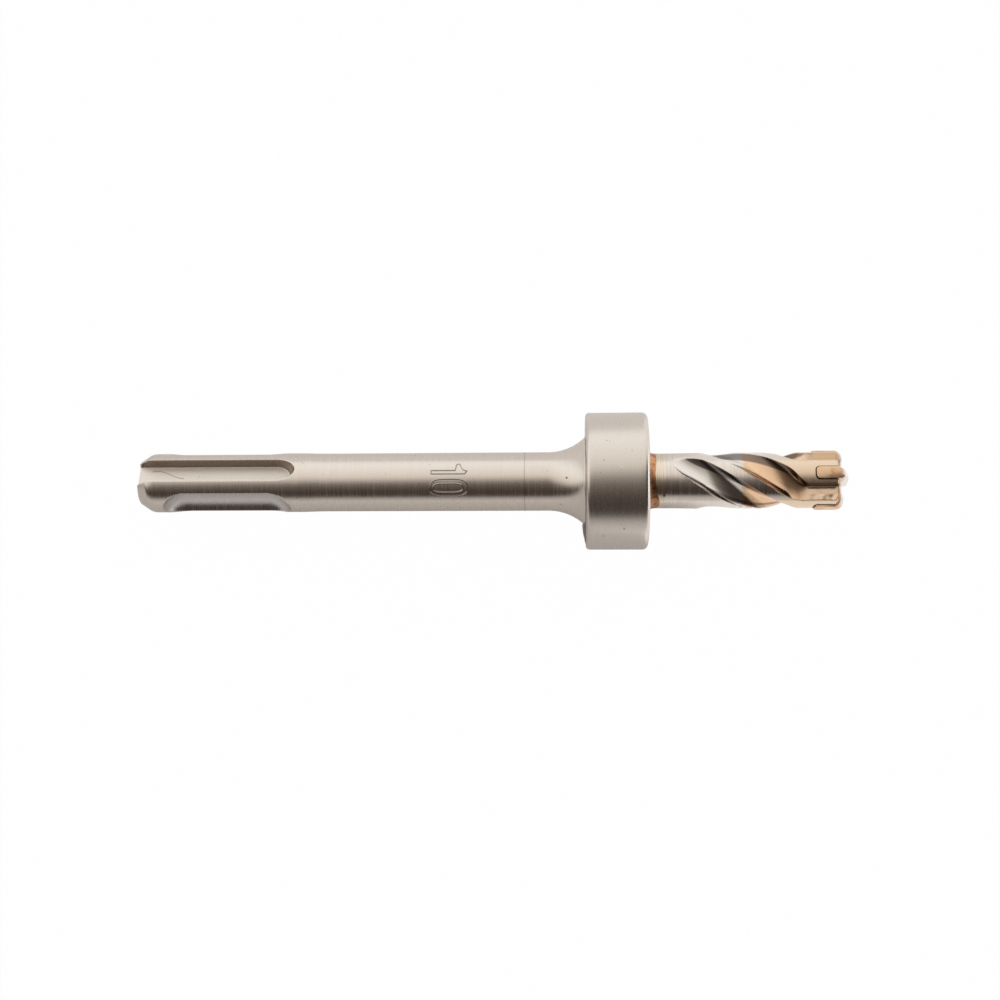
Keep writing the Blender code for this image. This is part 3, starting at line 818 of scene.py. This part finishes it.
def mainFront(u, t):
    side = t if u >= 0.0 else -t
    (lead, leadSlope), (trail, trailSlope) = plates["leadBevel"], plates["trailBevel"]
    bevel = leadSlope * max(0.0, side - lead)
    bevel += trailSlope * max(0.0, -trail - side) * min(1.0, abs(u) / plates["bevelRise"])
    fall = plates["relief"] * abs(t + plates["edgeLead"] * u) + bevel
    return bit["tip"] - plates["pointSlope"] * abs(u) - fall - cornerFall(u, plates["corner"])


def sideFront(u, t):
    peak = bit["tip"] - plates["pointSlope"] * plates["sidePeak"] - plates["sideDrop"]
    fall = plates["relief"] * abs(t + plates["edgeLead"] * u)
    fall += plates["sideSlope"] * abs(u - plates["sidePeak"])
    return peak - fall - cornerFall(u, plates["sideCorner"])


def plateRing(u, angle, front, grow=0.0):
    half = plates["thickness"] / 2.0 + grow
    r = plates["backRound"]
    back = plates["back"] - grow
    count = plates["backSteps"]
    quarter = [math.pi / 2.0 * i / count for i in range(count + 1)]
    points = [(back + r * (1.0 - math.sin(a)), -half + r * (1.0 - math.cos(a))) for a in quarter]
    points += [(back + r * (1.0 - math.cos(a)), half - r + r * math.sin(a)) for a in quarter]
    # down to the cutting edge and on to the other side
    edge, count = -plates["edgeLead"] * u, plates["frontSteps"]
    sides = steps(half, edge, count) + steps(edge, -half, count) + [-half]
    points += [(front(u, t), t) for t in sides]
    outer = bit["drillRadius"]
    return [(s, *around(angle, u * math.sqrt(1.0 - (t / outer) ** 2), t)) for s, t in points]


def plateSteps(low):
    corner = plates["sideCorner"]
    straight = bit["drillRadius"] - corner
    rounded = [straight + corner * math.sin(math.radians(a)) for a in plates["rounding"]]
    return steps(low, straight, 22) + rounded


def plateSlot(angle, low, high, joint):
    rings = [plateRing(u, angle, lambda u, t: bit["tip"] + 1.0, joint) for u in (low, high)]
    tool = loftPiece("slotTool", rings, bpy.data.materials.new("slotTool"))
    flipOut(tool)
    return tool


def flipOut(piece):
    form = bmesh.new()
    form.from_mesh(piece.data)
    bmesh.ops.recalc_face_normals(form, faces=form.faces[:])
    form.to_mesh(piece.data)
    form.free()


def makePlate(name, node, angle, front, places, material):
    rings = [plateRing(u, angle, front) for u in places]
    piece = loftPiece(name, rings, material, 25.0)
    flipOut(piece)
    # small chips only along the front, where it strikes
    for vertex in piece.data.vertices:
        s, y, z = (v / mm for v in vertex.co)
        chip = max(0.0, ripple(s * 0.8, y * 3.1, z * 3.1, 5.0) - 0.1) * smooth(*plates["chipFrom"], s)
        vertex.co.x -= chip * plates["chips"] * mm
    worn = piece.modifiers.new("wornEdges", "BEVEL")
    worn.width = plates["wear"] * mm
    worn.segments = 2
    worn.limit_method = "ANGLE"
    worn.angle_limit = math.radians(35.0)
    bakeModifiers(piece, 40.0)
    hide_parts(node)
    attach(piece, "root")


# Stop collar: turned ring with rounded rims
collar = {
    "backRound": 0.6, "frontRound": 0.85, "bore": 4.68, "boreChamfer": 0.35,
    "backRings": [7.0, 9.4], "frontRings": [9.0, 6.6],      # radii that divide the flat faces
    "steps": 288,
}


def collarProfile(angle):
    # the same at every angle
    back, front, outer = bit["collarBack"], bit["stopFace"], bit["collarRadius"]
    bore, c = collar["bore"], collar["boreChamfer"]
    turns = [math.pi / 2.0 * i / 10 for i in range(11)]
    profile = [(back + c, bore)] + [(back, radius) for radius in [bore + c] + collar["backRings"]]
    r = collar["backRound"]
    profile += [(back + r - r * math.cos(a), outer - r + r * math.sin(a)) for a in turns]
    profile += [(s, outer) for s in steps(back + r, front - collar["frontRound"], 12)[1:]]
    r = collar["frontRound"]
    profile += [(front - r + r * math.sin(a), outer - r + r * math.cos(a)) for a in turns]
    profile += [(front, radius) for radius in collar["frontRings"] + [bore + c]] + [(front - c, bore)]
    return list(reversed(profile))


def makeCollar():
    piece = turnedPiece("stopCollar", collarProfile, collar["steps"], collarSteel(), 34.0)
    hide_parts("stop_collar")
    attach(piece, "root")


# Copper braze: a ring in front of the collar, and a thin line with a rough bulge behind it
braze = {
    "frontLength": 1.30, "frontRise": 0.75,
    "frontLobe": 0.55, "lobeAngle": 310.0, "lobeSpread": 24.0,
    "rim": 7.36, "foot": 0.10, "backWidth": 0.16, "backThick": 0.06,
    "bulgeAngle": 268.0, "bulgeSpread": 22.0, "bulgeFoot": 0.35, "bulgeWidth": 2.9, "bulgeThick": 0.26,
}


def turnFrom(angle, middle):
    # degrees between two directions round the axis
    return abs((angle - middle + 180.0) % 360.0 - 180.0)


def frontBrazeProfile(angle):
    y, z = around(angle, 1.0)
    wave = ripple(y * 1.6, z * 1.6, 0.3, 11.0) * 0.35 + ripple(y * 5.0, z * 5.0, 0.3, 4.0) * 0.12
    lobe = math.exp(-(turnFrom(angle, braze["lobeAngle"]) / braze["lobeSpread"]) ** 2)
    length = braze["frontLength"] + wave + braze["frontLobe"] * lobe
    rise = braze["frontRise"] + wave * 0.8
    face, neck = bit["stopFace"], bit["neckRadius"]
    profile = [(face - 0.25, neck - 0.1), (face + length, neck - 0.1)]
    for i in range(11):
        a = math.pi / 2.0 * i / 10
        profile.append((face + length * (1.0 - math.sin(a)), neck + rise * (1.0 - math.cos(a))))
    profile.append((face - 0.25, neck + rise))
    return profile


def backBrazeProfile(angle):
    y, z = around(angle, 1.0)
    wave = ripple(y * 2.2, z * 2.2, 0.8, 21.0) * 0.5 + ripple(y * 8.0, z * 8.0, 0.8, 2.0) * 0.25
    bulge = math.exp(-(turnFrom(angle, braze["bulgeAngle"]) / braze["bulgeSpread"]) ** 4)
    face, rim = bit["collarBack"], braze["rim"]
    width = braze["backWidth"] * (1.0 + wave) + braze["bulgeWidth"] * bulge * (1.0 + 0.3 * wave)
    thick = braze["backThick"] + 0.04 * wave + braze["bulgeThick"] * bulge
    foot = braze["foot"] + braze["bulgeFoot"] * bulge
    flare = flareAt(face - foot)
    profile = [(face + 0.05, rim - 0.5), (face - foot, flare - 0.3), (face - foot, flare - 0.01)]
    for i in range(1, 12):
        share = i / 12
        lump = ripple(y * 6.0, z * 6.0, share * 2.5, 31.0) * 0.16 * bulge
        back = foot * (1.0 - share) ** 3 + thick * (1.0 - share ** 4) * min(1.0, share * 5.0)
        profile.append((face - min(back, foot + thick) - lump, flare + (rim + width - flare) * share))
    profile += [(face - 0.01, rim + width), (face + 0.05, rim + width)]
    return list(reversed(profile))


def makeBraze():
    front = turnedPiece("frontBraze", frontBrazeProfile, 240, brazeCopper("brazeCopper", brazeLook), 50.0)
    back = turnedPiece("backBraze", backBrazeProfile, 300, brazeCopper("brazeSeam", seamLook), 50.0)
    for piece in (front, back):
        flipOut(piece)
        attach(piece, "root")


# The nominal size, its outline cut into the plain shank
mark = {
    # corners: station, and place round the shank
    "one": [(50.2, 1.95), (54.2, 1.95), (54.5, 3.11), (55.0, 3.14), (55.15, 2.6), (55.5, 2.05), (56.15, 1.86),
            (55.8, 1.37), (50.2, 1.37)],
    # middle and half length along the shank, middle and half width round it
    "outerZero": (53.15, 3.05, -0.93, 1.42), "innerZero": (53.05, 2.45, -0.965, 0.715),
    "squareness": 0.62,
    "pointGap": 0.12,
    "line": 0.17, "sink": 0.12,     # radius of the line, and how deep its middle lies
}


def onShank(s, arc):
    r = bit["plainRadius"] - mark["sink"]
    a = arc / bit["plainRadius"]
    return s, r * math.sin(a), r * math.cos(a)


def makeMark():
    path = []
    for (s, arc), (nextS, nextArc) in zip(mark["one"], mark["one"][1:] + mark["one"][:1]):
        count = max(2, round(math.hypot(nextS - s, nextArc - arc) / mark["pointGap"]))
        path += [onShank(*place) for place in zip(steps(s, nextS, count), steps(arc, nextArc, count))]
    loops = [path]
    for key in ("outerZero", "innerZero"):
        s, halfLength, arc, halfWidth = mark[key]
        path = []
        for i in range(120):
            a = 2.0 * math.pi * i / 120
            c, d = math.cos(a), math.sin(a)
            c, d = [math.copysign(abs(v) ** mark["squareness"], v) for v in (c, d)]
            path.append(onShank(s + halfLength * c, arc + halfWidth * d))
        loops.append(path)
    piece = beadPiece("sizeMark", loops, mark["line"], etchedSteel())
    flipOut(piece)
    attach(piece, "root")


makeShank()
print("shank made")
makeFlutedEnd()
print("fluted end made")
makeCollar()
plateMetal = carbide()
half = plateSteps(0.0)
whole = [-u for u in reversed(half[1:])] + half
makePlate("mainPlate", "main_cutter_plate", plates["angle"], mainFront, whole, plateMetal)
short = plateSteps(plates["thickness"] / 2.0 + plates["gap"])
for number in (1, 2):
    turn = plates["angle"] - 90.0 + 180.0 * number
    makePlate(f"sidePlate{number}", f"side_cutter_plate_{number}", turn, sideFront, short, plateMetal)
print("collar and plates made")
makeBraze()
makeMark()
print("braze and mark made")


# Studio: a pale floor, and a soft sky that is light on one side and dark in a wide strip on the other
studio = {
    # angle of the direction from straight up towards -Y, and the light there
    "sky": [
        (-180, (0.70, 0.71, 0.72)), (-95, (1.10, 1.13, 1.16)), (-74, (1.16, 1.19, 1.21)),
        (-50, (1.05, 1.05, 1.05)), (-26, (0.93, 0.91, 0.88)), (-14, (0.62, 0.59, 0.56)),
        (-6, (0.33, 0.31, 0.29)), (0, (0.20, 0.185, 0.17)), (8, (0.145, 0.127, 0.115)),
        (18, (0.11, 0.09, 0.08)), (30, (0.070, 0.054, 0.047)), (58, (0.045, 0.034, 0.03)),
        (66, (0.42, 0.41, 0.41)), (78, (0.66, 0.65, 0.66)), (100, (0.66, 0.66, 0.67)),
        (180, (0.70, 0.71, 0.72)),
    ],
    # the strip's near edge turns by these degrees for each unit that a direction leans towards the tip, with
    # driftFrom added to that lean, and the turn fades out between the two angles
    "drift": 40.0, "driftFrom": 0.05, "driftFade": (22.0, 45.0),
    # a light ahead of the tip, low over the floor
    "glow": (1.9, 2.0, 2.15), "glowAhead": (0.82, 0.94), "glowRise": (-0.05, 0.08),
    "floorColor": (0.93, 0.93, 0.93), "cameraWhite": 0.99,
    # the floor's light in the metal: in front of the bit and behind it, and more ahead of the tip
    "glossWhite": (0.16, 0.62), "glossAcross": (-0.01, 0.03), "glossTip": 0.9, "glossAhead": (0.032, 0.045),
}


def makeSky():
    world = bpy.data.worlds.new("studio")
    scene.world = world
    world.use_nodes = True
    r = Recipe(world.node_tree)
    toward = r.add("TexCoord", out="Generated")
    x, y, z = r.add("SeparateXYZ", None, {0: toward}, out=(0, 1, 2))
    angle = (y * -1.0).maths("ARCTAN2", z)
    fade = r.fall(angle, *[math.radians(a) for a in studio["driftFade"]])
    drift = (x + studio["driftFrom"]) * (studio["drift"] / 360.0) * fade
    share = angle / (2.0 * math.pi) + 0.5 + drift
    stops = [((a + 180.0) / 360.0, color) for a, color in studio["sky"]]
    light = r.add("ValToRGB", {"stops": stops}, {0: share})
    glow = r.ramp(x, *studio["glowAhead"]) * r.ramp(z, *studio["glowRise"])
    light = r.blend(glow, light, studio["glow"])
    seen = r.add("LightPath", out="Is Camera Ray")
    light = r.blend(seen, light, (1.0, 1.0, 1.0))
    background = r.add("Background", None, {"Color": light, "Strength": 1.0})
    r.add("OutputWorld", None, {"Surface": background})


def makeFloor():
    form = bmesh.new()
    bmesh.ops.create_grid(form, x_segments=2, y_segments=2, size=3.0)
    mesh = bpy.data.meshes.new("floor")
    form.to_mesh(mesh)
    form.free()
    material = bpy.data.materials.new("paleFloor")
    material.use_nodes = True
    r = Recipe(material.node_tree)
    sockets = {"Base Color": (*studio["floorColor"], 1.0), "Roughness": 0.9, "Specular IOR Level": 0.1}
    matt = r.add("BsdfPrincipled", None, sockets)
    white = r.add("Emission", None, {"Color": (1.0, 1.0, 1.0, 1.0), "Strength": 1.0})
    camera, gloss, through = r.add("LightPath", out=("Is Camera Ray", "Is Glossy Ray", "Is Transmission Ray"))
    place = r.add("TexCoord", out="Object")
    ahead, across = r.add("SeparateXYZ", None, {0: place}, out=(0, 1))
    glow = r.ramp(across, *studio["glossAcross"], *studio["glossWhite"])
    glow = glow + r.ramp(ahead, *studio["glossAhead"], 0.0, studio["glossTip"])
    share = camera * studio["cameraWhite"] + gloss * glow + through
    both = r.add("MixShader", None, {0: share, 1: matt, 2: white})
    r.add("OutputMaterial", None, {"Surface": both})
    mesh.materials.append(material)
    floor = bpy.data.objects.new("floor", mesh)
    scene.collection.objects.link(floor)


# Focal length and optical centre in pixels of the 1000 pixel frame, place in millimetres, roll in degrees
view = {
    "frame": 1000.0, "focal": 1477.0, "centreX": 433.0, "centreY": 482.0,
    "x": -9.18, "height": 259.0, "roll": -0.27,
}


def makeCamera():
    camera = bpy.data.cameras.new("camera")
    camera.sensor_width = 36.0
    camera.lens = view["focal"] / view["frame"] * camera.sensor_width
    camera.shift_x = 0.5 - view["centreX"] / view["frame"]
    camera.shift_y = view["centreY"] / view["frame"] - 0.5
    camera.clip_start = 0.01
    holder = bpy.data.objects.new("camera", camera)
    scene.collection.objects.link(holder)
    place = Matrix.Translation((view["x"] * mm, 0.0, view["height"] * mm))
    holder.matrix_world = place @ Matrix.Rotation(math.radians(view["roll"]), 4, "Z")
    scene.camera = holder


makeSky()
makeFloor()
makeCamera()
scene.view_settings.view_transform = "Standard"
print("studio made")
